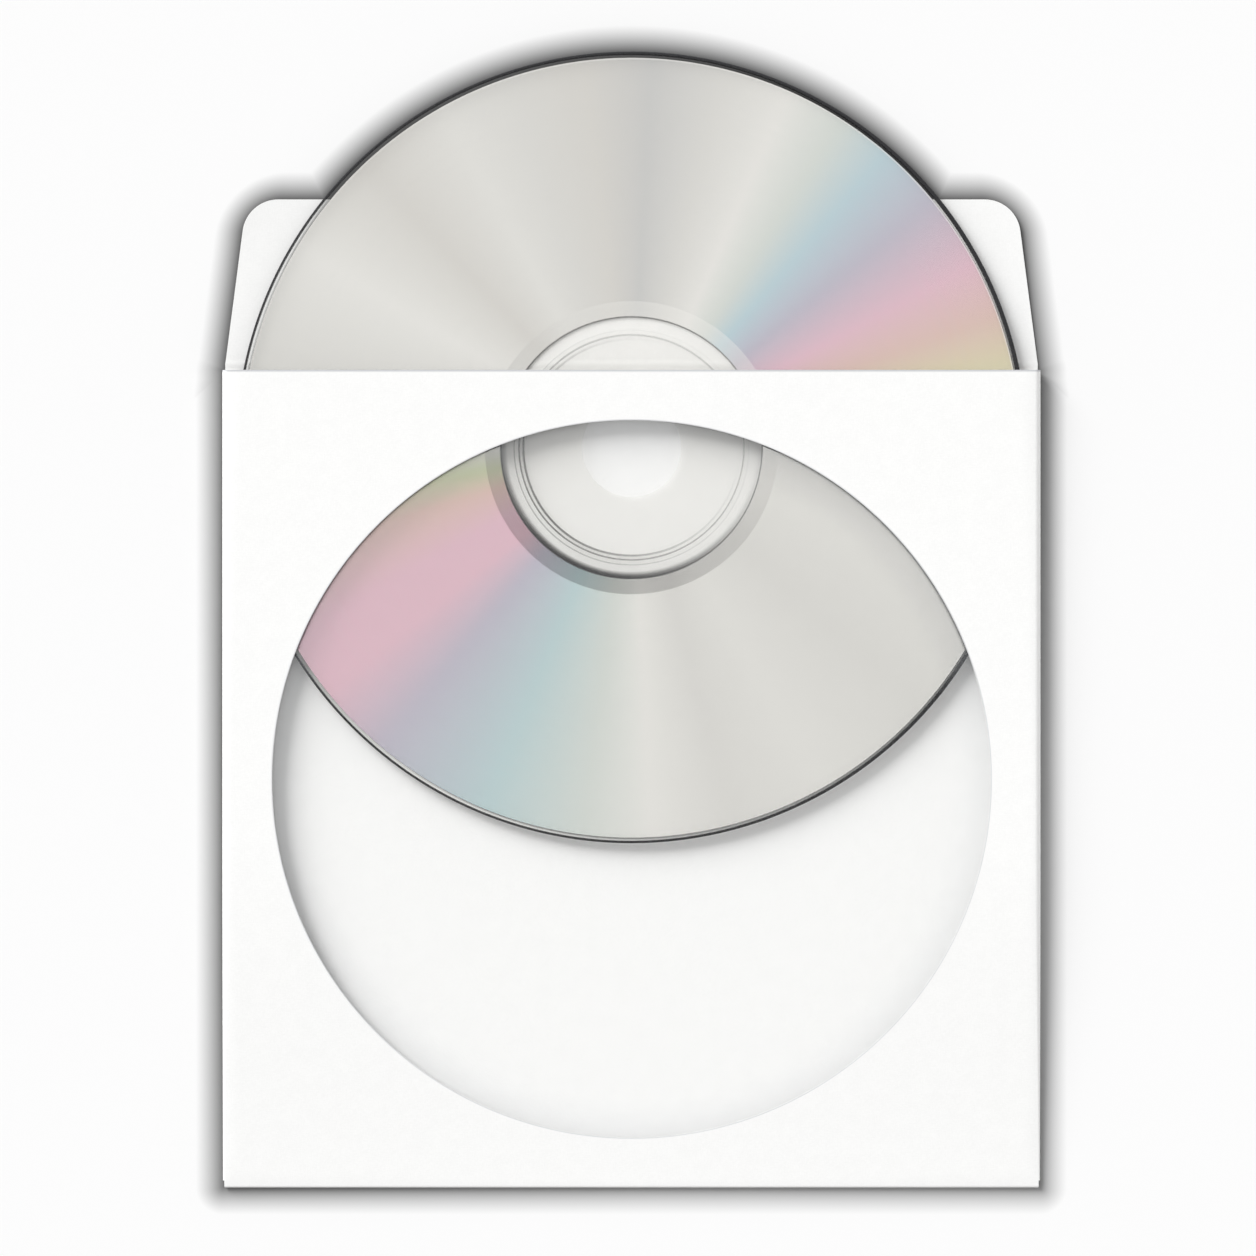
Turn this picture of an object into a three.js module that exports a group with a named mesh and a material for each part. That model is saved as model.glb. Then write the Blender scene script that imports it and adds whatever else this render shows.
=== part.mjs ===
// A paper sleeve for one optical disc, lying flat with its window side up, its flap opened out
// behind the mouth and the disc drawn half way out.
// Millimetres, +Z up. +X is the sleeve's right, and +Y runs from the bottom fold to the flap.
// The origin is the middle of the square body, on the surface that the back panel lies on.

import * as THREE from "three";

// Disc
const DISC_RADIUS = 60;
const DISC_THICKNESS = 1.2;
const HOLE_RADIUS = 7.5;
const HOLE_CHAMFER = 0.15;
const RIM_ROUNDING = 0.3;
const STACK_RING_START = 16.1;
const STACK_RING_RAMP = 0.95;
const STACK_RING_CREST = 0.75;
const STACK_RING_DROP = 0.15;
const STACK_RING_HEIGHT = 0.2;
const HUB_GROOVE_START = 19;
const HUB_GROOVE_WIDTH = 0.95;
const HUB_GROOVE_DEPTH = 0.1;

// Reflective layer under the disc, from the hub groove to just short of the rim
const METAL_THICKNESS = 0.03;
const METAL_RIM_MARGIN = 0.8;
const METAL_BOND = 0.01;

// Paper and film stock
const PAPER = 0.15;
const FILM = 0.05;
const GLUE = 0.03;
const REST_GAP = 0.03;

// Sleeve: its square body is the disc with room round it
const DISC_ROOM = 2;
const WINDOW_MARGIN = 7.6;
const FILM_LAP = 3.6;
const TAB_WIDTH = 6.5;
const TAB_END_WIDTH = 2.5;
const TAB_BEVEL = 4;
const CORNER_RELIEF = 0.8;
const FOLD_ROOM = 0.12;
const BACK_INSET = 0.3;

// Flap, which continues the back panel past the mouth
const FLAP_HEIGHT = 26;
const FLAP_TAPER = THREE.MathUtils.degToRad(7.5);
const FLAP_CORNER_RADIUS = 5.5;
const CREASE_SETBACK = 1;
const CREASE_WIDTH = 0.8;
const CREASE_HEIGHT = 0.06;

// How far the disc is drawn out of its seat at the bottom of the pocket
const DISC_DRAWN_OUT = 50.3;

// How finely the curved forms are divided
const COLUMNS = 24;
const SIDE_ROWS = 22;
const PANEL_RINGS = 3;
const FOLD_STEPS = 6;
const FLAP_ROWS = 3;
const CORNER_STEPS = 6;
const RIM_STEPS = 3;
const DISC_SEGMENTS = 120;

// Levels of the stack, from the surface up
const bodyHalf = DISC_RADIUS + DISC_ROOM;
const backLevel = PAPER / 2;
const tabLevel = PAPER + GLUE + PAPER / 2;
const tabTop = tabLevel + PAPER / 2;
const metalBottom = tabTop + REST_GAP;
const discBottom = metalBottom + METAL_THICKNESS + METAL_BOND;
const discTop = discBottom + DISC_THICKNESS;
const filmBottom = discTop + STACK_RING_HEIGHT + REST_GAP;
const frontOverDisc = filmBottom + FILM + GLUE + PAPER / 2;
const frontAtFold = tabTop + FOLD_ROOM + PAPER / 2;

// Places along the sleeve
const mouthY = bodyHalf;
const bottomFoldRadius = (frontAtFold - backLevel) / 2;
const foldY = -bodyHalf + PAPER / 2 + bottomFoldRadius;
const tabStartY = foldY + CORNER_RELIEF;
const discY = -bodyHalf + DISC_ROOM + DISC_RADIUS + DISC_DRAWN_OUT;
const backHalf = bodyHalf - BACK_INSET;
const windowRadius = bodyHalf - WINDOW_MARGIN;
const filmHalf = windowRadius + FILM_LAP;
const creaseY = mouthY + CREASE_SETBACK;
const flapTopY = mouthY + FLAP_HEIGHT;

/** Evenly spaced numbers from one value to another, both ends included. */
function span(from, to, steps) {
  return Array.from({ length: steps + 1 }, (_, i) => THREE.MathUtils.lerp(from, to, i / steps));
}

/** A place on the middle of a sheet, with the direction that its outer face looks in. */
function at(x, y, z, outward) {
  return { point: new THREE.Vector3(x, y, z), outward };
}

const up = new THREE.Vector3(0, 0, 1);
const down = new THREE.Vector3(0, 0, -1);

/** Triangles between neighbouring rows of places. Row step cross column step points outward. */
function weave(rows) {
  const triangles = [];
  for (let i = 0; i + 1 < rows.length; i += 1) {
    for (let j = 0; j + 1 < rows[i].length; j += 1) {
      const [a, b, c, d] = [rows[i][j], rows[i + 1][j], rows[i + 1][j + 1], rows[i][j + 1]];
      triangles.push([a, b, c], [a, c, d]);
    }
  }
  return triangles;
}

/** Gives every place that lies at the same point one shared number. */
function numberPlaces(triangles) {
  const places = [];
  const numbers = new Map();
  const faces = triangles.map((triangle) => triangle.map((place) => {
    const key = place.point.toArray().map((value) => value.toFixed(4)).join(" ");
    if (!numbers.has(key)) {
      numbers.set(key, places.length);
      places.push(place);
    }
    return numbers.get(key);
  }));
  return { places, faces };
}

/** Turns a sheet's middle surface into a closed solid of one thickness, with square cut edges. */
function thicken(triangles, thickness) {
  const { places, faces } = numberPlaces(triangles);
  const positions = [];
  for (const { point, outward } of places) {
    for (const side of [1, -1]) {
      positions.push(...point.clone().addScaledVector(outward, side * thickness / 2).toArray());
    }
  }
  const outer = (n) => 2 * n;
  const inner = (n) => 2 * n + 1;
  const edges = new Set(faces.flatMap(([a, b, c]) => [`${a} ${b}`, `${b} ${c}`, `${c} ${a}`]));
  const index = [];
  for (const [a, b, c] of faces) {
    index.push(outer(a), outer(b), outer(c), inner(a), inner(c), inner(b));
  }
  for (const edge of edges) {
    const [a, b] = edge.split(" ").map(Number);
    if (!edges.has(`${b} ${a}`)) {
      index.push(outer(b), outer(a), inner(a), outer(b), inner(a), inner(b));
    }
  }
  const solid = new THREE.BufferGeometry();
  solid.setAttribute("position", new THREE.Float32BufferAttribute(positions, 3));
  solid.setIndex(index);
  solid.computeVertexNormals();
  return solid;
}

/** Height of the front panel's middle: level over the disc, then easing down to the bottom fold. */
function frontLevel(y) {
  const discEdgeY = discY - DISC_RADIUS;
  const share = THREE.MathUtils.clamp((discEdgeY - y) / (discEdgeY - foldY), 0, 1);
  const eased = share * share * (2 - share);
  return THREE.MathUtils.lerp(frontOverDisc, frontAtFold, eased);
}

/** Middle radius of the side folds, which grows with the height of the front panel. */
function sideFoldRadius(y) {
  return (frontLevel(y) - tabLevel) / 2;
}

/** Half-width of the front panel, up to where its side folds begin to turn. */
function frontHalf(y) {
  return bodyHalf - PAPER / 2 - sideFoldRadius(y);
}

/** Rows along the side folds: the corner relief, the tabs' bevelled ends and even steps between. */
function sideRows() {
  return [foldY, tabStartY, ...span(tabStartY + TAB_BEVEL, mouthY - TAB_BEVEL, SIDE_ROWS), mouthY];
}

/** Width of the glue tabs, narrower towards their two bevelled ends. */
function tabWidth(y) {
  const fromEnd = Math.min(y - tabStartY, mouthY - y);
  return THREE.MathUtils.mapLinear(Math.min(fromEnd, TAB_BEVEL), 0, TAB_BEVEL, TAB_END_WIDTH, TAB_WIDTH);
}

/** Outline of the front panel, anticlockwise from its bottom left corner and back to it. */
function frontOutline(columns) {
  const rows = sideRows();
  const bottom = columns.map((share) => [share * frontHalf(foldY), foldY]);
  const right = rows.slice(1).map((y) => [frontHalf(y), y]);
  const top = columns.slice(0, -1).reverse().map((share) => [share * frontHalf(mouthY), mouthY]);
  const left = rows.slice(0, -1).reverse().map((y) => [-frontHalf(y), y]);
  return [...bottom, ...right, ...top, ...left];
}

/** Front panel: rings that change from the round window to the panel's square outline. */
function frontPanel(columns) {
  const outline = frontOutline(columns);
  const rings = span(0, 1, PANEL_RINGS).map((share) => outline.map(([edgeX, edgeY]) => {
    const scale = windowRadius / Math.hypot(edgeX, edgeY);
    const x = THREE.MathUtils.lerp(edgeX * scale, edgeX, share);
    const y = THREE.MathUtils.lerp(edgeY * scale, edgeY, share);
    return at(x, y, frontLevel(y), up);
  }));
  return weave(rings);
}

/** One side fold with its glue tab, which is turned in and lies on the back panel. Side is 1 or -1. */
function sideFoldAndTab(side) {
  const rows = sideRows().slice(1);
  if (side < 0) {
    rows.reverse();
  }
  const turns = span(0, Math.PI, FOLD_STEPS).map((turn) => rows.map((y) => {
    const radius = sideFoldRadius(y);
    const x = frontHalf(y) + radius * Math.sin(turn);
    const z = tabLevel + radius + radius * Math.cos(turn);
    return at(side * x, y, z, new THREE.Vector3(side * Math.sin(turn), 0, Math.cos(turn)));
  }));
  const tabEdge = rows.map((y) => at(side * (bodyHalf - tabWidth(y)), y, tabLevel, down));
  return weave([...turns, tabEdge]);
}

/** Half-width and place of each row of the flap, up its leaning sides and round its top corners. */
function flapRows() {
  const sine = Math.sin(FLAP_TAPER);
  const cosine = Math.cos(FLAP_TAPER);
  const cornerY = flapTopY - FLAP_CORNER_RADIUS;
  const cornerX = backHalf - (FLAP_CORNER_RADIUS + (cornerY - creaseY) * sine) / cosine;
  const sideEndX = cornerX + FLAP_CORNER_RADIUS * cosine;
  const sideEndY = cornerY + FLAP_CORNER_RADIUS * sine;
  const sides = span(0, 1, FLAP_ROWS).map((share) => ({
    half: THREE.MathUtils.lerp(backHalf, sideEndX, share),
    y: THREE.MathUtils.lerp(creaseY, sideEndY, share),
  }));
  const corners = span(FLAP_TAPER, Math.PI / 2, CORNER_STEPS).map((turn) => ({
    half: cornerX + FLAP_CORNER_RADIUS * Math.cos(turn),
    y: cornerY + FLAP_CORNER_RADIUS * Math.sin(turn),
  }));
  return [...sides, ...corners.slice(1)];
}

/** Height of the opened flap's middle, which springs up until it meets the disc's underside. */
function flapLevel(y) {
  const share = Math.max(0, y - creaseY) / (flapTopY - creaseY);
  return THREE.MathUtils.lerp(backLevel, tabLevel, share * share);
}

/** Bottom fold, back panel, creased flap hinge and flap, as one run of rows. */
function foldBackAndFlap(columns) {
  const fold = span(0, Math.PI, FOLD_STEPS).map((turn) => ({
    half: THREE.MathUtils.lerp(frontHalf(foldY), backHalf, turn / Math.PI),
    y: foldY - bottomFoldRadius * Math.sin(turn),
    z: backLevel + bottomFoldRadius + bottomFoldRadius * Math.cos(turn),
    outward: new THREE.Vector3(0, -Math.sin(turn), Math.cos(turn)),
  }));
  const creaseFoot = { half: backHalf, y: creaseY - CREASE_WIDTH / 2, z: backLevel, outward: down };
  const crease = { half: backHalf, y: creaseY, z: backLevel + CREASE_HEIGHT, outward: down };
  const hingeEndY = creaseY + CREASE_WIDTH / 2;
  const hingeEnd = {
    half: backHalf - CREASE_WIDTH / 2 * Math.tan(FLAP_TAPER),
    y: hingeEndY,
    z: flapLevel(hingeEndY),
    outward: down,
  };
  const flap = flapRows().slice(1).map(({ half, y }) => ({ half, y, z: flapLevel(y), outward: down }));
  const rows = [...fold, creaseFoot, crease, hingeEnd, ...flap];
  return weave(rows.map(({ half, y, z, outward }) => (
    columns.map((share) => at(share * half, y, z, outward))
  )));
}

/** The sleeve: one sheet of paper, folded up at the bottom and turned in and glued at both sides. */
function sleeveGeometry() {
  const columns = span(-1, 1, COLUMNS);
  const sheet = [
    ...frontPanel(columns),
    ...sideFoldAndTab(1),
    ...sideFoldAndTab(-1),
    ...foldBackAndFlap(columns),
  ];
  return thicken(sheet, PAPER);
}

/** Square patch of clear film, glued behind the window and following the front panel. */
function windowFilmGeometry() {
  const drop = PAPER / 2 + GLUE + FILM / 2;
  const rows = span(filmHalf, -filmHalf, SIDE_ROWS).map((y) => (
    [-filmHalf, filmHalf].map((x) => at(x, y, frontLevel(y) - drop, up))
  ));
  return thicken(weave(rows), FILM);
}

/** A closed section of radius and height, turned round the disc's axis. */
function turned(section) {
  const profile = [...section, section[0]].map(([radius, height]) => new THREE.Vector2(radius, height));
  return new THREE.LatheGeometry(profile, DISC_SEGMENTS).rotateX(Math.PI / 2);
}

/** Rounded rim of the disc, from its label side's edge round to its read side's edge. */
function rimSection() {
  const centreRadius = DISC_RADIUS - RIM_ROUNDING;
  const corner = (centreHeight, from, to) => span(from, to, RIM_STEPS).map((turn) => [
    centreRadius + RIM_ROUNDING * Math.cos(turn),
    centreHeight + RIM_ROUNDING * Math.sin(turn),
  ]);
  const lower = corner(RIM_ROUNDING, -Math.PI / 2, 0);
  const upper = corner(DISC_THICKNESS - RIM_ROUNDING, 0, Math.PI / 2);
  return [...lower, ...upper];
}

/** The moulded disc, read side up: hole, stacking ring, hub groove and rounded rim. */
function discGeometry() {
  const face = DISC_THICKNESS;
  const crest = face + STACK_RING_HEIGHT;
  const crestStart = STACK_RING_START + STACK_RING_RAMP;
  const crestEnd = crestStart + STACK_RING_CREST;
  const grooveEnd = HUB_GROOVE_START + HUB_GROOVE_WIDTH;
  const hole = [
    [HOLE_RADIUS + HOLE_CHAMFER, face],
    [HOLE_RADIUS, face - HOLE_CHAMFER],
    [HOLE_RADIUS, HOLE_CHAMFER],
    [HOLE_RADIUS + HOLE_CHAMFER, 0],
  ];
  const hubGroove = [
    [grooveEnd, face],
    [(HUB_GROOVE_START + grooveEnd) / 2, face - HUB_GROOVE_DEPTH],
    [HUB_GROOVE_START, face],
  ];
  const stackRing = [
    [crestEnd + STACK_RING_DROP, face],
    [crestEnd, crest],
    [crestStart, crest],
    [STACK_RING_START, face],
  ];
  return turned([...hole, ...rimSection(), ...hubGroove, ...stackRing]);
}

/** The silvered data area, a thin ring under the disc from the hub groove to near the rim. */
function reflectiveLayerGeometry() {
  const inner = HUB_GROOVE_START + HUB_GROOVE_WIDTH;
  const outer = DISC_RADIUS - METAL_RIM_MARGIN;
  return turned([[inner, METAL_THICKNESS], [inner, 0], [outer, 0], [outer, METAL_THICKNESS]]);
}

function paperMaterial() {
  return new THREE.MeshStandardMaterial({ color: 0xfdfdfb, roughness: 0.9, metalness: 0 });
}

function filmMaterial() {
  return new THREE.MeshStandardMaterial({
    color: 0xf4f6f7, roughness: 0.1, metalness: 0, transparent: true, opacity: 0.15,
  });
}

function polycarbonateMaterial() {
  return new THREE.MeshStandardMaterial({
    color: 0xf0efec, roughness: 0.05, metalness: 0, transparent: true, opacity: 0.2,
  });
}

function silverMaterial() {
  return new THREE.MeshStandardMaterial({ color: 0xd5d5d0, roughness: 0.25, metalness: 1 });
}

/** A named piece, standing at its own height over the sleeve's origin. */
function piece(name, geometry, material, y = 0, z = 0) {
  const mesh = new THREE.Mesh(geometry, material);
  mesh.name = name;
  mesh.position.set(0, y, z);
  return mesh;
}

const cdSleeve = new THREE.Group();
cdSleeve.name = "cd_sleeve";
cdSleeve.add(
  piece("sleeve", sleeveGeometry(), paperMaterial()),
  piece("window_film", windowFilmGeometry(), filmMaterial()),
  piece("disc", discGeometry(), polycarbonateMaterial(), discY, discBottom),
  piece("reflective_layer", reflectiveLayerGeometry(), silverMaterial(), discY, metalBottom),
);

export default cdSleeve;
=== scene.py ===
"""A paper disc sleeve, seen from straight above: folded paper, a window of clear film, and a silver
disc drawn half way out. Lengths are in millimetres until a mesh or a node takes them in metres.
"""

import math

import bpy
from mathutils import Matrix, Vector


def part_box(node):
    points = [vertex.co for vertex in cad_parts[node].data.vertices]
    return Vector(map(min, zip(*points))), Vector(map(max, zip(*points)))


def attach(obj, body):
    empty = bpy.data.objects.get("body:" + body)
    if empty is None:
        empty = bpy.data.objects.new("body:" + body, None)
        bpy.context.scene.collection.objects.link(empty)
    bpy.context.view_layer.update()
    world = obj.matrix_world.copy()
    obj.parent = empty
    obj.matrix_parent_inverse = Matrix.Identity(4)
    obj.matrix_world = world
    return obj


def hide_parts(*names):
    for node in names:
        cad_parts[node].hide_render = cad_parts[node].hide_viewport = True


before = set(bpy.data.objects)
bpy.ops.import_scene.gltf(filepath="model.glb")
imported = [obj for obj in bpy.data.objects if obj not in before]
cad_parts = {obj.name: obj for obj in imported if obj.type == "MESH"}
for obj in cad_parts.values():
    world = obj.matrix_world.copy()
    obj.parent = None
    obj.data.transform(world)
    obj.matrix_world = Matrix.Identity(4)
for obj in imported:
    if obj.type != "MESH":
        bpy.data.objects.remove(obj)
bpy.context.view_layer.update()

MM = 0.001


def box_mm(node):
    """Lowest and highest corner of a CAD node, in millimetres."""
    low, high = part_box(node)
    return low / MM, high / MM


_, SLEEVE_HIGH = box_mm("sleeve")
_, FILM_HIGH = box_mm("window_film")
DISC_LOW, DISC_HIGH = box_mm("disc")
METAL_LOW, METAL_HIGH = box_mm("reflective_layer")

# Sizes of the stock and of the folded sleeve that the frame's boxes don't give
PAPER = 0.15
FILM = 0.05
GLUE = 0.03
FILM_LAP = 3.6
TAB_WIDTH = 6.5
TAB_END_WIDTH = 2.5
TAB_BEVEL = 4
CORNER_RELIEF = 0.8
FOLD_ROOM = 0.12
BACK_INSET = 0.3
FLAP_TAPER = math.radians(7.5)
FLAP_CORNER_RADIUS = 5.5
CREASE_SETBACK = 1
CREASE_WIDTH = 0.8
CREASE_HEIGHT = 0.06
CURL_START_RADIUS = 61
CURL_HEIGHT = 0.45

# Disc
DISC_RADIUS = DISC_HIGH.x
DISC_Y = (DISC_LOW.y + DISC_HIGH.y) / 2
STACK_RING_HEIGHT = 0.2
DISC_THICKNESS = DISC_HIGH.z - DISC_LOW.z - STACK_RING_HEIGHT
HOLE_RADIUS = 7.5
HOLE_CHAMFER = 0.15
RIM_ROUNDING = 0.3
STACK_RING_START = 16.1
STACK_RING_RAMP = 0.95
STACK_RING_CREST = 0.75
STACK_RING_DROP = 0.15
STACK_RING_CREST_START = STACK_RING_START + STACK_RING_RAMP
STACK_RING_CREST_END = STACK_RING_CREST_START + STACK_RING_CREST
HUB_GROOVE_START = 19
HUB_GROOVE_WIDTH = 0.95
HUB_GROOVE_DEPTH = 0.1
METAL_START = HUB_GROOVE_START + HUB_GROOVE_WIDTH
METAL_END = METAL_HIGH.x
MIRROR_BAND_END = 22.25

# Levels and places worked out from them
BODY_HALF = SLEEVE_HIGH.x
MOUTH_Y = BODY_HALF
FLAP_TOP_Y = SLEEVE_HIGH.y
BACK_LEVEL = PAPER / 2
TAB_LEVEL = PAPER + GLUE + PAPER / 2
FRONT_OVER_DISC = SLEEVE_HIGH.z - PAPER / 2
FRONT_AT_FOLD = TAB_LEVEL + PAPER + FOLD_ROOM
BOTTOM_FOLD_RADIUS = (FRONT_AT_FOLD - BACK_LEVEL) / 2
FOLD_Y = -BODY_HALF + PAPER / 2 + BOTTOM_FOLD_RADIUS
TAB_START_Y = FOLD_Y + CORNER_RELIEF
BACK_HALF = BODY_HALF - BACK_INSET
FILM_HALF = FILM_HIGH.x
WINDOW_RADIUS = FILM_HALF - FILM_LAP
CREASE_Y = MOUTH_Y + CREASE_SETBACK
DISC_EDGE_Y = DISC_Y - DISC_RADIUS

# How finely the forms are divided
COLUMNS = 96
SIDE_ROWS = 90
BACK_ROWS = 45
PANEL_RINGS = 10
FOLD_STEPS = 14
FLAP_ROWS = 26
CORNER_STEPS = 16
FILM_STEPS = 60
RIM_STEPS = 6
DISC_SEGMENTS = 360
SMOOTH_ANGLE = math.radians(32)
SAME_PLACE_DECIMALS = 4

# Camera: the square that the photograph takes in, at the height of the front panel
FRAME_WIDTH = 190.07
FRAME_CENTRE = (-0.53, 22.93)
LENS = 100
SENSOR = 36
NEAREST_SEEN = 10


def mix(a, b, share):
    return a + (b - a) * share


def clamp01(value):
    return min(1.0, max(0.0, value))


def span(start, end, steps):
    """Evenly spaced numbers from start to end, both included."""
    return [mix(start, end, i / steps) for i in range(steps + 1)]


# Sheets of paper and film

UP = Vector((0, 0, 1))
DOWN = Vector((0, 0, -1))


def at(x, y, z, outward):
    """A place on the middle of a sheet, with the direction that its outer face looks in."""
    return Vector((x, y, z)), outward


def weave(rows):
    """Quads between neighbouring rows of places. Row step cross column step points outward."""
    quads = []
    for near, far in zip(rows, rows[1:]):
        for j in range(len(near) - 1):
            quads.append((near[j], far[j], far[j + 1], near[j + 1]))
    return quads


def thicken(name, quads, thickness):
    """A closed sheet of one thickness, from its middle surface. Its cut edges take slot 1."""
    numbers = {}
    places = []
    faces = []
    for quad in quads:
        face = []
        for point, outward in quad:
            key = tuple(round(value, SAME_PLACE_DECIMALS) for value in point)
            if key not in numbers:
                numbers[key] = len(places)
                places.append((point, outward))
            face.append(numbers[key])
        faces.append(face)
    outer = [(point + outward * thickness / 2) * MM for point, outward in places]
    inner = [(point - outward * thickness / 2) * MM for point, outward in places]
    shift = len(places)
    edges = {(face[i - 1], face[i]) for face in faces for i in range(4)}
    cut = [(b, a, a + shift, b + shift) for a, b in sorted(edges) if (b, a) not in edges]
    turned_over = [tuple(number + shift for number in reversed(face)) for face in faces]
    mesh = bpy.data.meshes.new(name)
    mesh.from_pydata(outer + inner, [], faces + turned_over + cut)
    for polygon in mesh.polygons[2 * len(faces):]:
        polygon.material_index = 1
    return finished(name, mesh)


def finished(name, mesh):
    """Links a mesh with smooth curved faces and crisp edges."""
    mesh.validate()
    mesh.polygons.foreach_set("use_smooth", [True] * len(mesh.polygons))
    mesh.set_sharp_from_angle(angle=SMOOTH_ANGLE)
    piece = bpy.data.objects.new(name, mesh)
    bpy.context.scene.collection.objects.link(piece)
    return piece


def front_level(y):
    """Height of the front panel's middle: level over the disc, then down to the bottom fold."""
    share = clamp01((DISC_EDGE_Y - y) / (DISC_EDGE_Y - FOLD_Y))
    return mix(FRONT_OVER_DISC, FRONT_AT_FOLD, share * share * (2 - share))


def side_fold_radius(y):
    return (front_level(y) - TAB_LEVEL) / 2


def front_half(y):
    """Half-width of the front panel, up to where its side folds begin to turn."""
    return BODY_HALF - PAPER / 2 - side_fold_radius(y)


def side_rows():
    """Rows along the side folds: corner relief, bevelled tab ends and even steps between."""
    between_bevels = span(TAB_START_Y + TAB_BEVEL, MOUTH_Y - TAB_BEVEL, SIDE_ROWS)
    return [FOLD_Y, TAB_START_Y, *between_bevels, MOUTH_Y]


def tab_width(y):
    from_end = min(y - TAB_START_Y, MOUTH_Y - y, TAB_BEVEL)
    return mix(TAB_END_WIDTH, TAB_WIDTH, from_end / TAB_BEVEL)


def front_outline(columns):
    """Outline of the front panel, anticlockwise from its bottom left corner and back to it."""
    rows = side_rows()
    bottom = [(share * front_half(FOLD_Y), FOLD_Y) for share in columns]
    right = [(front_half(y), y) for y in rows[1:]]
    top = [(share * front_half(MOUTH_Y), MOUTH_Y) for share in reversed(columns[:-1])]
    left = [(-front_half(y), y) for y in reversed(rows[:-1])]
    return bottom + right + top + left


def front_panel(columns):
    """Rings that change from the round window to the panel's square outline."""
    rings = []
    for share in span(0, 1, PANEL_RINGS):
        ring = []
        for edge_x, edge_y in front_outline(columns):
            scale = WINDOW_RADIUS / math.hypot(edge_x, edge_y)
            x = mix(edge_x * scale, edge_x, share)
            y = mix(edge_y * scale, edge_y, share)
            ring.append(at(x, y, front_level(y), UP))
        rings.append(ring)
    return weave(rings)


def side_fold_and_tab(side):
    """One side fold and its glue tab, turned in to lie on the back panel. side is 1 or -1."""
    rows = side_rows()[1:]
    if side < 0:
        rows.reverse()
    turns = []
    for turn in span(0, math.pi, FOLD_STEPS):
        outward = Vector((side * math.sin(turn), 0, math.cos(turn)))
        turns.append([
            at(side * (front_half(y) + side_fold_radius(y) * math.sin(turn)), y,
               TAB_LEVEL + side_fold_radius(y) * (1 + math.cos(turn)), outward)
            for y in rows
        ])
    tab_edge = [at(side * (BODY_HALF - tab_width(y)), y, TAB_LEVEL, DOWN) for y in rows]
    return weave([*turns, tab_edge])


def flap_rows():
    """Half-width and place of each row of the flap, up its leaning sides and round its corners."""
    sine, cosine = math.sin(FLAP_TAPER), math.cos(FLAP_TAPER)
    corner_y = FLAP_TOP_Y - FLAP_CORNER_RADIUS
    corner_x = BACK_HALF - (FLAP_CORNER_RADIUS + (corner_y - CREASE_Y) * sine) / cosine
    side_end = (corner_x + FLAP_CORNER_RADIUS * cosine, corner_y + FLAP_CORNER_RADIUS * sine)
    sides = [
        (mix(BACK_HALF, side_end[0], share), mix(CREASE_Y, side_end[1], share))
        for share in span(0, 1, FLAP_ROWS)
    ]
    corners = [
        (corner_x + FLAP_CORNER_RADIUS * math.cos(turn),
         corner_y + FLAP_CORNER_RADIUS * math.sin(turn))
        for turn in span(FLAP_TAPER, math.pi / 2, CORNER_STEPS)
    ]
    return sides + corners[1:]


def flap_level(x, y):
    """The opened flap springs up under the disc, and its corners curl past the disc's edge."""
    share = max(0.0, y - CREASE_Y) / (FLAP_TOP_Y - CREASE_Y)
    past_disc = max(0.0, math.hypot(x, y - DISC_Y) - CURL_START_RADIUS)
    reach = math.hypot(BODY_HALF, FLAP_TOP_Y - DISC_Y) - CURL_START_RADIUS
    curl = CURL_HEIGHT * share * (past_disc / reach) ** 2
    return mix(BACK_LEVEL, TAB_LEVEL, share * share) + curl


def fold_back_and_flap(columns):
    """Bottom fold, back panel, creased hinge and flap, as one run of rows."""
    rows = []
    for turn in span(0, math.pi, FOLD_STEPS):
        half = mix(front_half(FOLD_Y), BACK_HALF, turn / math.pi)
        y = FOLD_Y - BOTTOM_FOLD_RADIUS * math.sin(turn)
        z = BACK_LEVEL + BOTTOM_FOLD_RADIUS * (1 + math.cos(turn))
        outward = Vector((0, -math.sin(turn), math.cos(turn)))
        rows.append([at(share * half, y, z, outward) for share in columns])
    flat_rows = [(y, BACK_LEVEL) for y in span(FOLD_Y, CREASE_Y - CREASE_WIDTH / 2, BACK_ROWS)[1:]]
    for y, z in [*flat_rows, (CREASE_Y, BACK_LEVEL + CREASE_HEIGHT)]:
        rows.append([at(share * BACK_HALF, y, z, DOWN) for share in columns])
    hinge_end = (BACK_HALF - CREASE_WIDTH / 2 * math.tan(FLAP_TAPER), CREASE_Y + CREASE_WIDTH / 2)
    for half, y in [hinge_end, *flap_rows()[1:]]:
        rows.append([at(share * half, y, flap_level(share * half, y), DOWN) for share in columns])
    return weave(rows)


def make_sleeve():
    """Front panel, its side tabs, the bottom fold, back panel and flap, as one folded sheet."""
    columns = span(-1, 1, COLUMNS)
    sheet = front_panel(columns) + fold_back_and_flap(columns)
    for side in (1, -1):
        sheet += side_fold_and_tab(side)
    piece = thicken("paper_sleeve", sheet, PAPER)
    piece.data.materials.append(paper_material())
    piece.data.materials.append(cut_edge_material())
    return piece


def make_film():
    """A square patch, glued to the inside of the front panel and bent with it."""
    drop = PAPER / 2 + GLUE + FILM / 2
    rows = [
        [at(x, y, front_level(y) - drop, UP) for x in span(-FILM_HALF, FILM_HALF, FILM_STEPS)]
        for y in span(FILM_HALF, -FILM_HALF, FILM_STEPS)
    ]
    piece = thicken("window_sheet", weave(rows), FILM)
    film = film_material()
    piece.data.materials.append(film)
    piece.data.materials.append(film)
    return piece


# Disc

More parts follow.
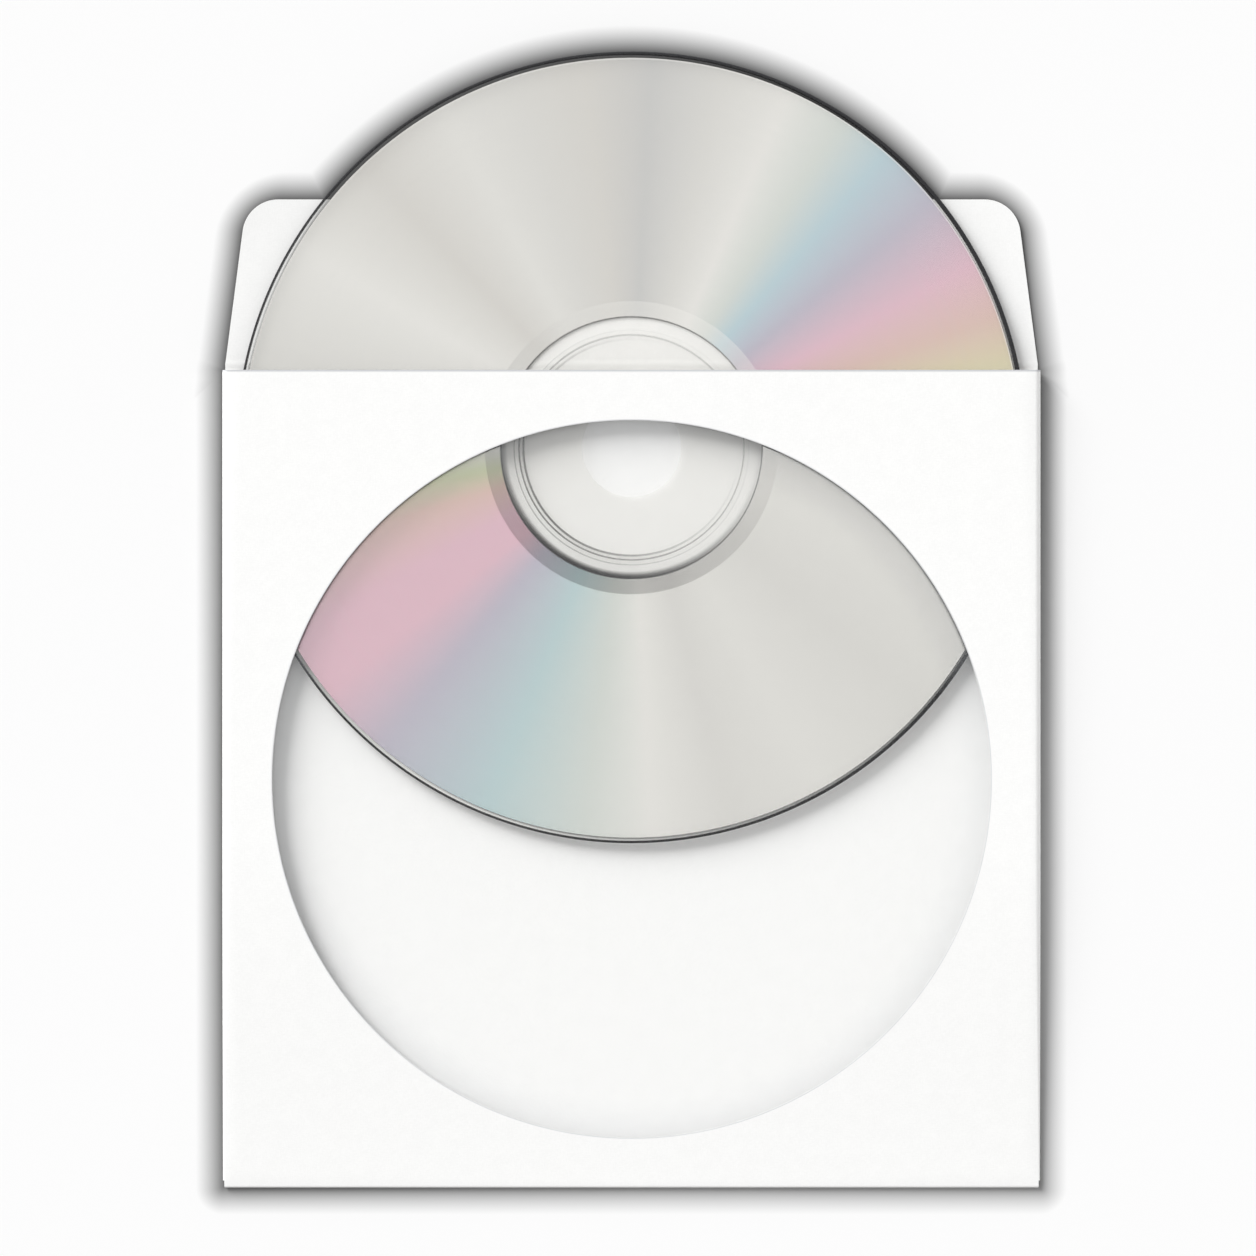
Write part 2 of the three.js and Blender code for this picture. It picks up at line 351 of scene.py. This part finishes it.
def turned(name, section, bottom):
    """A closed section of radius and height, turned round the disc's axis."""
    vertices = []
    for i in range(DISC_SEGMENTS):
        angle = math.tau * i / DISC_SEGMENTS
        vertices += [
            (radius * math.cos(angle) * MM, radius * math.sin(angle) * MM, height * MM)
            for radius, height in section
        ]
    count = len(section)
    faces = []
    for i in range(DISC_SEGMENTS):
        here, there = i * count, (i + 1) % DISC_SEGMENTS * count
        for j in range(count):
            k = (j + 1) % count
            faces.append((here + j, there + j, there + k, here + k))
    mesh = bpy.data.meshes.new(name)
    mesh.from_pydata(vertices, [], faces)
    piece = finished(name, mesh)
    piece.location = (0, DISC_Y * MM, bottom * MM)
    return piece


def rim_section():
    """Rounded rim of the disc, from its label side's edge to its read side's edge."""
    centre = DISC_RADIUS - RIM_ROUNDING
    section = []
    for height, start, end in (
        (RIM_ROUNDING, -math.pi / 2, 0),
        (DISC_THICKNESS - RIM_ROUNDING, 0, math.pi / 2),
    ):
        for turn in span(start, end, RIM_STEPS):
            section.append((centre + RIM_ROUNDING * math.cos(turn),
                            height + RIM_ROUNDING * math.sin(turn)))
    return section


def make_disc():
    """The moulded disc, read side up: chamfered hole, stacking ring, hub groove and rounded rim."""
    face = DISC_THICKNESS
    crest = face + STACK_RING_HEIGHT
    section = [
        (HOLE_RADIUS + HOLE_CHAMFER, face),
        (HOLE_RADIUS, face - HOLE_CHAMFER),
        (HOLE_RADIUS, HOLE_CHAMFER),
        (HOLE_RADIUS + HOLE_CHAMFER, 0),
        *rim_section(),
        (METAL_START, face),
        (mix(HUB_GROOVE_START, METAL_START, 0.5), face - HUB_GROOVE_DEPTH),
        (HUB_GROOVE_START, face),
        (STACK_RING_CREST_END + STACK_RING_DROP, face),
        (STACK_RING_CREST_END, crest),
        (STACK_RING_CREST_START, crest),
        (STACK_RING_START, face),
    ]
    piece = turned("clear_disc", section, DISC_LOW.z)
    piece.data.materials.append(polycarbonate_material())
    return piece


def make_metal():
    """The metal layer under the disc's data area, with the label coat on its lower face."""
    thickness = METAL_HIGH.z - METAL_LOW.z
    section = [(METAL_START, thickness), (METAL_START, 0), (METAL_END, 0), (METAL_END, thickness)]
    piece = turned("silver_layer", section, METAL_LOW.z)
    piece.data.materials.append(silver_material())
    piece.data.materials.append(label_coat_material())
    for polygon in piece.data.polygons:
        polygon.material_index = 1 if polygon.normal.z < -0.5 else 0
    return piece


# Materials. Shares, tones and darkness go from 0 to 1.

PURE_WHITE = (1.0, 1.0, 1.0, 1.0)
LINE_CORE = 0.3
SCHLICK_POWER = 5.0
NOISE_RANGE = (0.3, 0.7)


def srgb(red, green, blue):
    """A colour of 0 to 255 as seen on screen, as the linear colour that a shader takes."""
    def linear(value):
        share = value / 255
        return share / 12.92 if share <= 0.04045 else ((share + 0.055) / 1.055) ** 2.4
    return linear(red), linear(green), linear(blue), 1.0


class Graph:
    """Adds nodes to a material's or world's tree, and links them as their inputs are given."""

    def __init__(self, owner):
        owner.use_nodes = True
        self.nodes = owner.node_tree.nodes
        self.links = owner.node_tree.links
        self.nodes.clear()

    def add(self, kind, inputs=None, **settings):
        node = self.nodes.new("ShaderNode" + kind)
        for name, value in settings.items():
            setattr(node, name, value)
        for name, value in (inputs or {}).items():
            self.feed(node.inputs[name], value)
        return node

    def feed(self, socket, value):
        if isinstance(value, bpy.types.NodeSocket):
            self.links.new(value, socket)
        else:
            socket.default_value = value

    def math(self, operation, *values):
        node = self.add("Math", operation=operation)
        for socket, value in zip(node.inputs, values):
            self.feed(socket, value)
        return node.outputs[0]

    def highest(self, values):
        """The highest of several values at each place."""
        top, *rest = values
        for value in rest:
            top = self.math("MAXIMUM", top, value)
        return top

    def distance(self, x, y):
        squares = self.math("ADD", self.math("POWER", x, 2.0), self.math("POWER", y, 2.0))
        return self.math("SQRT", squares)

    def smooth(self, value, start, end, low=0.0, high=1.0):
        """Changes smoothly from low to high as value goes from start to end."""
        node = self.add("MapRange", interpolation_type="SMOOTHSTEP", inputs={
            "Value": value, "From Min": start, "From Max": end, "To Min": low, "To Max": high,
        })
        return node.outputs[0]

    def line(self, value, centre, half_width):
        """1 on a thin line where value is centre, fading to 0 half_width away."""
        off = self.math("ABSOLUTE", self.math("SUBTRACT", value, centre))
        return self.smooth(off, half_width * LINE_CORE, half_width, 1.0, 0.0)

    def towards(self, x, y, direction):
        """1 on the side of the middle that lies in a direction, falling to 0 on the other side."""
        angle = self.math("ARCTAN2", y, x)
        turned_from = self.math("COSINE", self.math("SUBTRACT", angle, direction))
        return self.math("MULTIPLY_ADD", turned_from, 0.5, 0.5)

    def blend(self, factor, first, second, mode="MIX"):
        node = self.add("Mix", data_type="RGBA", blend_type=mode)
        self.feed(node.inputs[0], factor)
        self.feed(node.inputs[6], first)
        self.feed(node.inputs[7], second)
        return node.outputs[2]

    def ramp(self, factor, stops):
        node = self.add("ValToRGB", {"Fac": factor})
        elements = node.color_ramp.elements
        while len(elements) < len(stops):
            elements.new(1.0)
        for element, (position, colour) in zip(elements, stops):
            element.position = position
            element.color = colour
        return node.outputs["Color"]

    def noise(self, where, scale, detail, roughness=0.5, dimensions="3D"):
        return self.add("TexNoise", {
            "Vector": where, "Scale": scale, "Detail": detail, "Roughness": roughness,
        }, noise_dimensions=dimensions).outputs["Fac"]

    def ring_noise(self, radius, scale, detail):
        """Noise that is the same all the way round a ring."""
        return self.noise(self.add("CombineXYZ", {"X": radius}).outputs[0], scale, detail)

    def stretched(self, where, scale):
        return self.add("Mapping", {"Vector": where, "Scale": scale}).outputs[0]

    def object_place(self):
        """Object coordinates, and each of them in millimetres."""
        where = self.add("TexCoord").outputs["Object"]
        split = self.add("SeparateXYZ", {"Vector": where})
        return where, *(self.math("DIVIDE", split.outputs[i], MM) for i in range(3))

    def bump(self, height, strength, depth):
        """Normal of a surface with a relief, which is depth millimetres deep where height is 1."""
        inputs = {"Strength": strength, "Distance": depth * MM, "Height": height}
        return self.add("Bump", inputs).outputs[0]

    def gloss_share(self, head_on, glancing):
        """Share of light that a clear surface mirrors, seen square and seen at a glancing angle."""
        facing = self.add("LayerWeight", {"Blend": 0.5}).outputs["Facing"]
        glance = self.math("POWER", facing, SCHLICK_POWER)
        return self.math("MULTIPLY_ADD", glance, glancing - head_on, head_on)

    def shader(self, kind, inputs):
        return self.add("Bsdf" + kind, inputs).outputs[0]

    def mixed(self, factor, first, second):
        """Mix Shader."""
        node = self.add("MixShader")
        self.feed(node.inputs[0], factor)
        self.feed(node.inputs[1], first)
        self.feed(node.inputs[2], second)
        return node.outputs[0]

    def show(self, shader):
        self.feed(self.add("OutputMaterial").inputs["Surface"], shader)


def new_material(name):
    material = bpy.data.materials.new(name)
    return material, Graph(material)


# Paper. Noise has so many cells per metre along X, Y and Z.

PAPER_WHITE = srgb(253, 253, 252)
PAPER_SHADE = srgb(249, 249, 248)
CUT_EDGE_WHITE = srgb(238, 238, 236)
CUT_EDGE_SHADE = srgb(222, 222, 219)
# Grey of the shade line painted along the mouth and the window's edge
EDGE_SHADE_GREY = srgb(208, 209, 212)
FIBRES_UP = (5200, 1300, 1)
FIBRES_ACROSS = (1300, 5200, 1)
FIBRE_SHARE = 0.4
FIBRE_RANGE = (0.35, 0.65)
CLOUDS = 420
CLOUD_SHARE = 0.2
CUT_FIBRES = (1800, 1800, 16000)
MOUTH_SHADE_WIDTH = 0.4
WINDOW_SHADE_WIDTH = 0.22
WINDOW_SHADE_SHARE = 0.75
PAPER_RELIEF = 0.02
CUT_EDGE_RELIEF = 0.03
PAPER_ROUGHNESS = (0.82, 0.94)


def paper_fibres(graph, where):
    """Height of the felted surface: fine fibres that lie both ways over a soft cloudiness."""
    def fibres(cells):
        noise = graph.noise(graph.stretched(where, cells), scale=1.0, detail=2.0,
                            roughness=0.6, dimensions="2D")
        return graph.math("MULTIPLY", noise, FIBRE_SHARE)

    clouds = graph.noise(where, CLOUDS, detail=1.0, dimensions="2D")
    felt = graph.math("ADD", fibres(FIBRES_UP), fibres(FIBRES_ACROSS))
    return graph.math("ADD", felt, graph.math("MULTIPLY", clouds, CLOUD_SHARE)), clouds


def paper_material():
    """White uncoated paper, with a fine grey shade line painted along its die-cut mouth and window
    edges.
    """
    material, graph = new_material("white_paper")
    where, x, y, z = graph.object_place()
    height, clouds = paper_fibres(graph, where)
    tone = graph.blend(graph.smooth(height, *FIBRE_RANGE), PAPER_SHADE, PAPER_WHITE)
    # Painted shade: a grey line along the front panel's mouth and window edge
    mouth = graph.line(y, MOUTH_Y, MOUTH_SHADE_WIDTH)
    window = graph.line(graph.distance(x, y), WINDOW_RADIUS, WINDOW_SHADE_WIDTH)
    edge_shade = graph.math("MAXIMUM", mouth, graph.math("MULTIPLY", window, WINDOW_SHADE_SHARE))
    on_front = graph.math("GREATER_THAN", z, FRONT_AT_FOLD)
    graph.show(graph.shader("Principled", {
        "Base Color": graph.blend(graph.math("MULTIPLY", edge_shade, on_front), tone, EDGE_SHADE_GREY),
        "Roughness": graph.smooth(clouds, *NOISE_RANGE, *PAPER_ROUGHNESS),
        "Specular IOR Level": 0.3,
        "Normal": graph.bump(height, strength=0.15, depth=PAPER_RELIEF),
    }))
    return material


def cut_edge_material():
    """The paper's cut edge: open fibres, a little greyer than the face."""
    material, graph = new_material("paper_cut_edge")
    where = graph.add("TexCoord").outputs["Object"]
    fibres = graph.noise(graph.stretched(where, CUT_FIBRES), scale=1.0, detail=3.0, roughness=0.7)
    graph.show(graph.shader("Principled", {
        "Base Color": graph.blend(fibres, CUT_EDGE_SHADE, CUT_EDGE_WHITE),
        "Roughness": 0.95,
        "Specular IOR Level": 0.2,
        "Normal": graph.bump(fibres, strength=0.4, depth=CUT_EDGE_RELIEF),
    }))
    return material


# Film. Gloss is given head-on and glancing, and waves are in radians per millimetre.

FILM_CLEAR = (0.999, 0.999, 0.998, 1.0)
FILM_GLOSS = (0.003, 0.2)
# Grey of the film's faint haze, also used for the shade painted along the window's edge
FILM_HAZE_AND_SHADE = srgb(206, 209, 214)
FILM_EDGE_SHADE_REACH = 6.5
FILM_EDGE_SHADE_AT_EDGE = 0.056
FILM_HAZE_INSIDE = 0.003
WAVES_UP = 0.21
WAVES_ACROSS = 0.13
WAVE_BEND = 0.07
WAVE_RELIEF = 0.1
HAZE_ROUGHNESS = 0.15


def film_waves(graph, x, y):
    """Height of the slow waves in a film that is glued down at its edge only."""
    bend = graph.math("SINE", graph.math("MULTIPLY", x, WAVE_BEND))
    up = graph.math("SINE", graph.math("MULTIPLY_ADD", y, WAVES_UP, bend))
    across = graph.math("SINE", graph.math("MULTIPLY", x, WAVES_ACROSS))
    return graph.math("MULTIPLY", up, across)


def film_material():
    """Thin clear film with a soft gloss and a faint haze, and a cool shade painted towards the
    window's edge.
    """
    material, graph = new_material("clear_film")
    _, x, y, _ = graph.object_place()
    clear = graph.shader("Transparent", {"Color": FILM_CLEAR})
    gloss = graph.shader("Glossy", {
        "Color": PURE_WHITE,
        "Roughness": 0.08,
        "Normal": graph.bump(film_waves(graph, x, y), strength=0.3, depth=WAVE_RELIEF),
    })
    sheet = graph.mixed(graph.gloss_share(*FILM_GLOSS), clear, gloss)
    haze_and_shade = graph.shader("Principled", {"Base Color": FILM_HAZE_AND_SHADE, "Roughness": HAZE_ROUGHNESS})
    # Painted shade: the haze thickens to a cool grey towards the window's edge
    inset = graph.math("SUBTRACT", WINDOW_RADIUS, graph.distance(x, y))
    haze_and_shade_share = graph.smooth(inset, 0.0, FILM_EDGE_SHADE_REACH, FILM_EDGE_SHADE_AT_EDGE, FILM_HAZE_INSIDE)
    graph.show(graph.mixed(haze_and_shade_share, sheet, haze_and_shade))
    return material


# Clear plastic. The shade at the disc's walls is painted as grey lines that are darker towards one
# side.

DISC_CLEAR = (0.995, 0.994, 0.990, 1.0)
DISC_GLOSS = (0.0, 0.2)
HUB_HAZE = srgb(236, 234, 228)
HUB_HAZINESS = 0.06
HUB_FADE = 0.1
# Grey of the painted shade lines at the disc's walls, groove edge and rim
WALL_SHADE_GREY = srgb(46, 46, 48)
HUB_SHADED_SIDE = math.radians(246)
RING_SHADED_SIDE = math.radians(215)
GROOVE_DARKNESS = 0.7
GROOVE_SHADE_START = HUB_GROOVE_START - 0.3
GROOVE_SHADE_FULL = METAL_START - 0.25
GROOVE_SHADE_FADE = METAL_START - 0.1
GROOVE_SHADE_END = METAL_START + 0.05
# Painted shade line along the rim: the side where it is widest, its widths and darkness
WIDE_RIM_SIDE = math.radians(10)
RIM_LINE_NARROW = 0.26
RIM_LINE_WIDE = 0.56
RIM_LINE_DARKNESS = 0.92
RIM_LINE_FADE = (-0.12, 0.04)

# Painted shade lines: radius, half-width, darkness on the light side and darkness on the shaded
# side
STACK_RING_LINES = (
    (STACK_RING_START + 0.3, 0.22, 0.0, 0.46),
    (STACK_RING_CREST_START, 0.16, 0.18, 0.46),
    (STACK_RING_CREST_END, 0.13, 0.02, 0.24),
)
# Painted shade line at the metal layer's inner edge, with the same columns
METAL_EDGE_SHADE_LINE = (METAL_START - 0.14, 0.12, 0.32, 0.76)


def wall_shade_line(graph, radius, side, centre, half_width, plain, shaded):
    """A painted shade line round the disc, whose darkness goes from plain to shaded towards one
    side.
    """
    nearness = graph.math("POWER", side, 2.0)
    darkness = graph.math("MULTIPLY_ADD", nearness, shaded - plain, plain)
    return graph.math("MULTIPLY", graph.line(radius, centre, half_width), darkness)


def groove_shade(graph, radius, side):
    """The hub groove's soft shade, which deepens to its outer wall."""
    deepening = graph.smooth(radius, GROOVE_SHADE_START, GROOVE_SHADE_FULL)
    inside = graph.smooth(radius, GROOVE_SHADE_FADE, GROOVE_SHADE_END, 1.0, 0.0)
    depth = graph.math("MULTIPLY", graph.math("POWER", side, 3.0), GROOVE_DARKNESS)
    return graph.math("MULTIPLY", graph.math("MULTIPLY", deepening, inside), depth)


def rim_shade_line(graph, x, y, radius):
    """The shade line painted along the rounded rim, wider on one side."""
    wideness = graph.math("POWER", graph.towards(x, y, WIDE_RIM_SIDE), 2.0)
    width = graph.math("MULTIPLY_ADD", wideness, RIM_LINE_WIDE - RIM_LINE_NARROW, RIM_LINE_NARROW)
    inset = graph.math("SUBTRACT", DISC_RADIUS, radius)
    depth = graph.math("SUBTRACT", width, inset)
    return graph.smooth(depth, *RIM_LINE_FADE, 0.0, RIM_LINE_DARKNESS)


def polycarbonate_material():
    """Clear moulded plastic, with grey shade lines painted at its ring walls, groove and rim."""
    material, graph = new_material("clear_polycarbonate")
    _, x, y, _ = graph.object_place()
    radius = graph.distance(x, y)
    hub_side = graph.towards(x, y, HUB_SHADED_SIDE)
    ring_side = graph.towards(x, y, RING_SHADED_SIDE)
    darkness = graph.highest([
        groove_shade(graph, radius, hub_side),
        *(wall_shade_line(graph, radius, ring_side, *line) for line in STACK_RING_LINES),
        wall_shade_line(graph, radius, hub_side, *METAL_EDGE_SHADE_LINE),
        rim_shade_line(graph, x, y, radius),
    ])
    clear = graph.shader("Transparent", {"Color": DISC_CLEAR})
    gloss = graph.shader("Glossy", {"Color": PURE_WHITE, "Roughness": 0.03})
    body = graph.mixed(graph.gloss_share(*DISC_GLOSS), clear, gloss)
    haze_and_shade = graph.shader("Principled", {"Base Color": HUB_HAZE, "Roughness": HAZE_ROUGHNESS})
    haze_and_shade_share = graph.smooth(radius, METAL_START - HUB_FADE, METAL_START, HUB_HAZINESS, 0.0)
    wall_shade = graph.shader("Principled", {
        "Base Color": WALL_SHADE_GREY, "Roughness": 0.25, "Specular IOR Level": 0.2,
    })
    graph.show(graph.mixed(darkness, graph.mixed(haze_and_shade_share, body, haze_and_shade), wall_shade))
    return material


# Metal

STRAW = srgb(217, 209, 180)
STRAW_GREEN = srgb(202, 207, 174)
PEACH = srgb(218, 192, 184)
PINK = srgb(222, 188, 200)
LAVENDER = srgb(191, 187, 200)
SKY = srgb(187, 207, 215)
TEAL = srgb(188, 208, 211)
PALE_GREEN = srgb(212, 217, 213)
SILVER_DARK = srgb(203, 203, 202)
SILVER = srgb(218, 217, 214)
SILVER_PALE = srgb(225, 224, 221)
SILVER_DIM = srgb(214, 212, 208)
SILVER_LIGHT = srgb(230, 229, 226)

# Painted reflection of the data area by angle in degrees, anticlockwise from +X: each half turn
# starts with a painted rainbow and goes on in painted light and dark spokes.
SHEEN = (
    (0, SILVER), (13, STRAW), (20, PEACH), (28, PINK), (39, LAVENDER), (49, SKY), (57, PALE_GREEN),
    (66, SILVER_LIGHT), (76, SILVER), (87, SILVER_DARK), (97, SILVER_DIM), (108, SILVER),
    (119, SILVER_PALE), (133, SILVER_DIM), (149, SILVER_LIGHT), (166, SILVER), (180, SILVER),
    (189, STRAW_GREEN), (197, PEACH), (209, PINK), (219, PINK), (230, LAVENDER), (248, TEAL),
    (263, PALE_GREEN), (273, SILVER_LIGHT), (285, SILVER), (299, SILVER_PALE), (318, SILVER),
    (340, SILVER_PALE), (360, SILVER),
)
FULL_TURN = 360
# Side towards which the mirror band and the metal's outer edge are painted lighter
BRIGHT_SIDE = math.radians(62)
DATA_RINGS = 1.1
DATA_RING_SHARE = 0.05
BAND_SHADE = srgb(203, 203, 203)
BAND_GLEAM = srgb(240, 239, 236)
BAND_GLEAM_SHARE = 0.35
BAND_FADE = 0.1
# Highlight painted in a thin line just inside the metal's outer edge, on the bright side
OUTER_HIGHLIGHT_WHITE = srgb(250, 250, 248)
OUTER_HIGHLIGHT_SHARE = 0.5
OUTER_HIGHLIGHT_WIDTH = 0.2
OUTER_HIGHLIGHT_INSET = 0.1
MIRROR_ROUGHNESS = 0.1
DATA_ROUGHNESS = 0.24
LACQUER_DARK = srgb(196, 196, 195)
LACQUER_LIGHT = srgb(214, 214, 212)
LACQUER_RINGS = 9.0


def sheen(graph, x, y, radius):
    """Painted reflection of the data area, its spokes and rainbows, over its fine rings."""
    turn = graph.math("FRACT", graph.math("DIVIDE", graph.math("ARCTAN2", y, x), math.tau))
    # Painted sheen: rainbow and spokes of reflected light, by angle round the disc
    painted_sheen = graph.ramp(turn, [(angle / FULL_TURN, colour) for angle, colour in SHEEN])
    rings = graph.ring_noise(radius, DATA_RINGS, detail=2.0)
    share = graph.smooth(rings, *NOISE_RANGE, 0.0, DATA_RING_SHARE)
    return graph.blend(share, painted_sheen, SILVER_DARK)


def silver_material():
    """Mirror metal behind the data grooves, with painted sheen, a plain mirror band round the hub
    painted lighter towards one side and darker on the other, and a painted highlight line near its
    outer edge.
    """
    material, graph = new_material("silver_data_area")
    _, x, y, _ = graph.object_place()
    radius = graph.distance(x, y)
    data = sheen(graph, x, y, radius)
    # Painted light: the mirror band is darker away from the bright side, with a painted gleam
    # towards it
    bright = graph.towards(x, y, BRIGHT_SIDE)
    band = graph.blend(1.0, data, graph.blend(bright, BAND_SHADE, PURE_WHITE), "MULTIPLY")
    band = graph.blend(graph.math("MULTIPLY", bright, BAND_GLEAM_SHARE), band, BAND_GLEAM)
    in_data = graph.smooth(radius, MIRROR_BAND_END - BAND_FADE, MIRROR_BAND_END + BAND_FADE)
    # Painted highlight along the metal's outer edge
    outer_highlight = graph.line(radius, METAL_END - OUTER_HIGHLIGHT_INSET, OUTER_HIGHLIGHT_WIDTH)
    outer_highlight_share = graph.math("MULTIPLY", bright, OUTER_HIGHLIGHT_SHARE)
    outer_highlight_share = graph.math("MULTIPLY", outer_highlight, outer_highlight_share)
    roughening = DATA_ROUGHNESS - MIRROR_ROUGHNESS
    graph.show(graph.shader("Principled", {
        "Base Color": graph.blend(outer_highlight_share, graph.blend(in_data, band, data), OUTER_HIGHLIGHT_WHITE),
        "Metallic": 0.8,
        "Roughness": graph.math("MULTIPLY_ADD", in_data, roughening, MIRROR_ROUGHNESS),
    }))
    return material


def label_coat_material():
    """The blank label side: silver lacquer over the metal, with faint rings."""
    material, graph = new_material("silver_lacquer")
    _, x, y, _ = graph.object_place()
    rings = graph.ring_noise(graph.distance(x, y), LACQUER_RINGS, detail=3.0)
    graph.show(graph.shader("Principled", {
        "Base Color": graph.blend(rings, LACQUER_DARK, LACQUER_LIGHT),
        "Metallic": 0.6,
        "Roughness": 0.38,
    }))
    return material


# Stage

FLOOR_WHITE = srgb(250, 250, 250)
FLOOR_HALF = 1500
FLOOR_DROP = 0.02
SHADE_REACH = 4.2
SHADE_FALL = 1.1
LIT_SIDE_SHADE = 0.87
FAR_SIDE_SHADE = 0.62
WORLD_LOW_LIGHT = 1.23
WORLD_BASE_LIGHT = 0.36
SUN_STRENGTH = 3.85
SUN_SOFTNESS = math.radians(32)
SUN_HEIGHT = math.radians(22)
SUN_FROM = math.radians(134)


def outline_distance(graph, x, y):
    """Distance on the floor from the nearest of the body, the flap and the disc, and 0 in them."""
    def minus(value, amount):
        return graph.math("SUBTRACT", value, amount)

    def beyond(across, up):
        return graph.distance(graph.math("MAXIMUM", across, 0.0), graph.math("MAXIMUM", up, 0.0))

    side = graph.math("ABSOLUTE", x)
    body = beyond(minus(side, BODY_HALF), minus(graph.math("ABSOLUTE", y), BODY_HALF))
    lean = graph.math("MULTIPLY", minus(y, CREASE_Y), math.tan(FLAP_TAPER))
    flap_side = minus(graph.math("ADD", side, lean), BACK_HALF - FLAP_CORNER_RADIUS)
    flap_top = minus(y, FLAP_TOP_Y - FLAP_CORNER_RADIUS)
    flap = minus(beyond(flap_side, flap_top), FLAP_CORNER_RADIUS)
    flap = graph.math("MAXIMUM", flap, minus(MOUTH_Y, y))
    disc = minus(graph.distance(x, minus(y, DISC_Y)), DISC_RADIUS)
    nearest = graph.math("MINIMUM", body, graph.math("MINIMUM", flap, disc))
    return graph.math("MAXIMUM", nearest, 0.0)


def floor_material():
    """Plain pale floor, with a soft shadow painted close round the part's outline as in the
    photograph.
    """
    material, graph = new_material("pale_floor")
    _, x, y, _ = graph.object_place()
    away = graph.math("DIVIDE", outline_distance(graph, x, y), SHADE_REACH)
    nearness = graph.math("MAXIMUM", graph.math("SUBTRACT", 1.0, away), 0.0)
    nearness = graph.math("POWER", nearness, SHADE_FALL)
    # The painted shadow is deeper on the side away from the sun
    towards_sun = graph.math("ADD", graph.math("MULTIPLY", x, math.cos(SUN_FROM)),
                             graph.math("MULTIPLY", y, math.sin(SUN_FROM)))
    depth = graph.smooth(towards_sun, -BODY_HALF, BODY_HALF / 2, FAR_SIDE_SHADE, LIT_SIDE_SHADE)
    light = graph.math("SUBTRACT", 1.0, graph.math("MULTIPLY", nearness, depth))
    grey = graph.add("CombineColor", {"Red": light, "Green": light, "Blue": light}).outputs[0]
    colour = graph.blend(1.0, FLOOR_WHITE, grey, "MULTIPLY")
    graph.show(graph.shader("Diffuse", {"Color": colour}))
    return material


def make_floor():
    """A wide level floor, just under the part."""
    half = FLOOR_HALF * MM
    corners = [(-half, -half, 0), (half, -half, 0), (half, half, 0), (-half, half, 0)]
    mesh = bpy.data.meshes.new("floor")
    mesh.from_pydata(corners, [], [(0, 1, 2, 3)])
    floor = bpy.data.objects.new("floor", mesh)
    bpy.context.scene.collection.objects.link(floor)
    floor.location.z = -FLOOR_DROP * MM
    mesh.materials.append(floor_material())


def make_world():
    """White as seen or mirrored, while the light on the part is softer, and strongest low down."""
    world = bpy.data.worlds.new("studio")
    bpy.context.scene.world = world
    graph = Graph(world)
    direction = graph.add("TexCoord").outputs["Generated"]
    height = graph.add("SeparateXYZ", {"Vector": direction}).outputs["Z"]
    height = graph.math("MAXIMUM", height, 0.0)
    lowness = graph.math("POWER", graph.math("SUBTRACT", 1.0, height), 2.0)
    light = graph.math("MULTIPLY_ADD", lowness, WORLD_LOW_LIGHT, WORLD_BASE_LIGHT)
    rays = graph.add("LightPath").outputs
    seen = graph.highest([rays[f"Is {kind} Ray"] for kind in ("Camera", "Glossy", "Transmission")])
    strength = graph.math("MULTIPLY_ADD", seen, graph.math("SUBTRACT", 1.0, light), light)
    background = graph.add("Background", {"Color": PURE_WHITE, "Strength": strength})
    graph.feed(graph.add("OutputWorld").inputs["Surface"], background.outputs[0])


def make_sun():
    """One soft lamp from low in the upper left, which leaves no glare on clear plastic."""
    light = bpy.data.lights.new("key", "SUN")
    light.energy = SUN_STRENGTH
    light.angle = SUN_SOFTNESS
    lamp = bpy.data.objects.new("key", light)
    bpy.context.scene.collection.objects.link(lamp)
    flat = math.cos(SUN_HEIGHT)
    towards = Vector((flat * math.cos(SUN_FROM), flat * math.sin(SUN_FROM), math.sin(SUN_HEIGHT)))
    lamp.visible_glossy = False
    lamp.rotation_mode = "QUATERNION"
    lamp.rotation_quaternion = towards.to_track_quat("Z", "Y")


def make_camera():
    """Looks straight down, with the flap at the top of the picture."""
    data = bpy.data.cameras.new("camera")
    data.lens = LENS
    data.sensor_width = SENSOR
    data.clip_start = NEAREST_SEEN * MM
    camera = bpy.data.objects.new("camera", data)
    bpy.context.scene.collection.objects.link(camera)
    height = SLEEVE_HIGH.z + FRAME_WIDTH * LENS / SENSOR
    camera.location = Vector((*FRAME_CENTRE, height)) * MM
    bpy.context.scene.camera = camera


def place(piece, node):
    """Puts a piece on the part's one body, as the looks of a CAD node, and hides that node."""
    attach(piece, "root")
    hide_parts(node)


make_camera()
make_world()
make_sun()
make_floor()
place(make_sleeve(), "sleeve")
place(make_film(), "window_film")
place(make_disc(), "disc")
place(make_metal(), "reflective_layer")

bpy.context.scene.view_settings.view_transform = "Standard"
